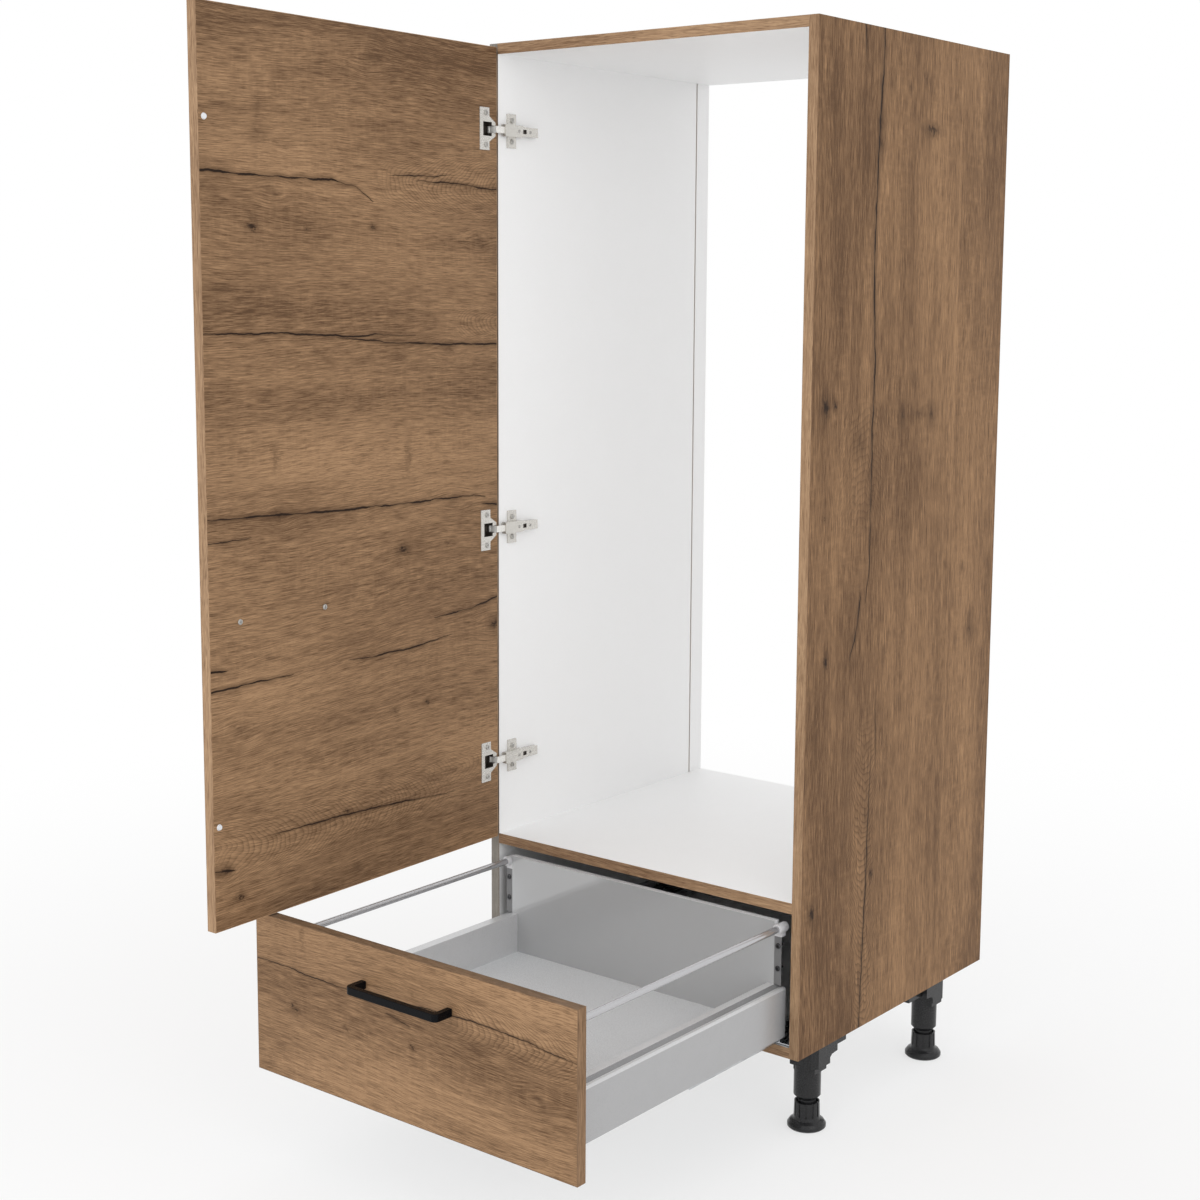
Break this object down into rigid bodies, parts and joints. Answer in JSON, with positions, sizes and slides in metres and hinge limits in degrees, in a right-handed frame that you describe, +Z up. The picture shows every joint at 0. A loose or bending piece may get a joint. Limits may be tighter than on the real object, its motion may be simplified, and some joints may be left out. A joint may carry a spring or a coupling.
{
  "type": "fridge housing unit",
  "caption": "Tall kitchen cabinet for a built-in fridge: oak-effect carcass with an open-backed niche, hinged door with bow handle, metal-sided drawer and height-adjustable feet.",
  "frame": {"origin": "on the floor, at mid-width of the carcass, below the carcass's front plane", "axes": "+Z up, +X to the right seen from the front, +Y from the front to the back"},
  "size_m": [0.6165, 1.1526, 1.615],
  "materials": {
    "oak_board": "rustic oak decor on particle board, satin",
    "oak_edging": "oak-effect edge band, satin",
    "white_board": "white melamine on particle board",
    "back_board": "thin lacquered fibreboard",
    "base_board": "light grey melamine on particle board",
    "beech": "fluted beech dowel, plain",
    "nickel": "nickel plated steel",
    "screw_steel": "zinc plated",
    "black_metal": "matt black",
    "clear_plastic": "clear soft plastic",
    "silver_grey": "silver-grey powder coat",
    "grey_steel": "glossy grey coat",
    "dark_grey": "dark grey coat",
    "rail_metal": "silver-grey coat",
    "grey_plastic": "grey moulded plastic",
    "zinc_steel": "zinc plated sheet",
    "black_plastic": "black moulded plastic"
  },
  "bodies": {
    "drawer": {"back_bracket_left": "dark_grey", "back_bracket_right": "dark_grey", "back_bracket_screws": "screw_steel", "drawer_back": "grey_steel", "drawer_base": "base_board", "drawer_front": "oak_board", "drawer_front_edging": "oak_edging", "drawer_handle": "black_metal", "drawer_handle_screws": "screw_steel", "drawer_rail_left": "rail_metal", "drawer_rail_right": "rail_metal", "drawer_runner_left": "zinc_steel", "drawer_runner_right": "zinc_steel", "drawer_side_left": "silver_grey", "drawer_side_right": "silver_grey", "front_fixings": "zinc_steel", "rail_front_sockets": "grey_plastic", "rail_rear_holders": "grey_plastic"},
    "carcass": {"bottom_panel": "white_board", "cabinet_runner_left": "zinc_steel", "cabinet_runner_right": "zinc_steel", "carcass_dowels": "beech", "crosspiece_edging": "oak_edging", "foot_screws": "screw_steel", "foot_socket_front_left": "black_plastic", "foot_socket_front_right": "black_plastic", "foot_socket_rear_left": "black_plastic", "foot_socket_rear_right": "black_plastic", "fridge_shelf": "white_board", "hinge_adjusting_screws": "screw_steel", "hinge_arm_lower": "nickel", "hinge_arm_middle": "nickel", "hinge_arm_upper": "nickel", "hinge_plate_lower": "nickel", "hinge_plate_middle": "nickel", "hinge_plate_screws": "screw_steel", "hinge_plate_upper": "nickel", "lower_back_panel": "back_board", "runner_screws": "screw_steel", "side_edging": "oak_edging", "side_panel_left": "oak_board", "side_panel_right": "oak_board", "top_panel": "white_board"},
    "door": {"door_bumpers": "clear_plastic", "door_edging": "oak_edging", "door_handle": "black_metal", "door_handle_screws": "screw_steel", "door_panel": "oak_board", "hinge_cup_lower": "nickel", "hinge_cup_middle": "nickel", "hinge_cup_screws": "screw_steel", "hinge_cup_upper": "nickel", "hinge_pins": "nickel"},
    "foot_front_left": {"foot_adjuster_front_left": "black_plastic"},
    "foot_front_right": {"foot_adjuster_front_right": "black_plastic"},
    "foot_rear_left": {"foot_adjuster_rear_left": "black_plastic"},
    "foot_rear_right": {"foot_adjuster_rear_right": "black_plastic"},
    "runner_middle_left": {"middle_runner_left": "zinc_steel"},
    "runner_middle_right": {"middle_runner_right": "zinc_steel"}
  },
  "joints": [
    {"name": "door_hinge", "type": "hinge", "parent": "carcass", "child": "door", "pos_m": [-0.2907, -0.012, 0.98], "axis": [0, 0, -1], "range_deg": [-88, 7]},
    {"name": "drawer_slide", "type": "slide", "parent": "carcass", "child": "drawer", "axis": [0, -1, 0], "range_m": [-0.478, 0.012]},
    {"name": "runner_middle_left_slide", "type": "slide", "parent": "carcass", "child": "runner_middle_left", "axis": [0, -1, 0], "range_m": [-0.239, 0.006]},
    {"name": "runner_middle_right_slide", "type": "slide", "parent": "carcass", "child": "runner_middle_right", "axis": [0, -1, 0], "range_m": [-0.239, 0.006]},
    {"name": "foot_front_left_height", "type": "slide", "parent": "carcass", "child": "foot_front_left", "axis": [0, 0, -1], "range_m": [-0.003, 0.025]},
    {"name": "foot_front_right_height", "type": "slide", "parent": "carcass", "child": "foot_front_right", "axis": [0, 0, -1], "range_m": [-0.003, 0.025]},
    {"name": "foot_rear_left_height", "type": "slide", "parent": "carcass", "child": "foot_rear_left", "axis": [0, 0, -1], "range_m": [-0.003, 0.025]},
    {"name": "foot_rear_right_height", "type": "slide", "parent": "carcass", "child": "foot_rear_right", "axis": [0, 0, -1], "range_m": [-0.003, 0.025]}
  ],
  "couplings": [
    {"joint": "runner_middle_left_slide", "follows": "drawer_slide", "ratio": 0.5},
    {"joint": "runner_middle_right_slide", "follows": "drawer_slide", "ratio": 0.5}
  ]
}
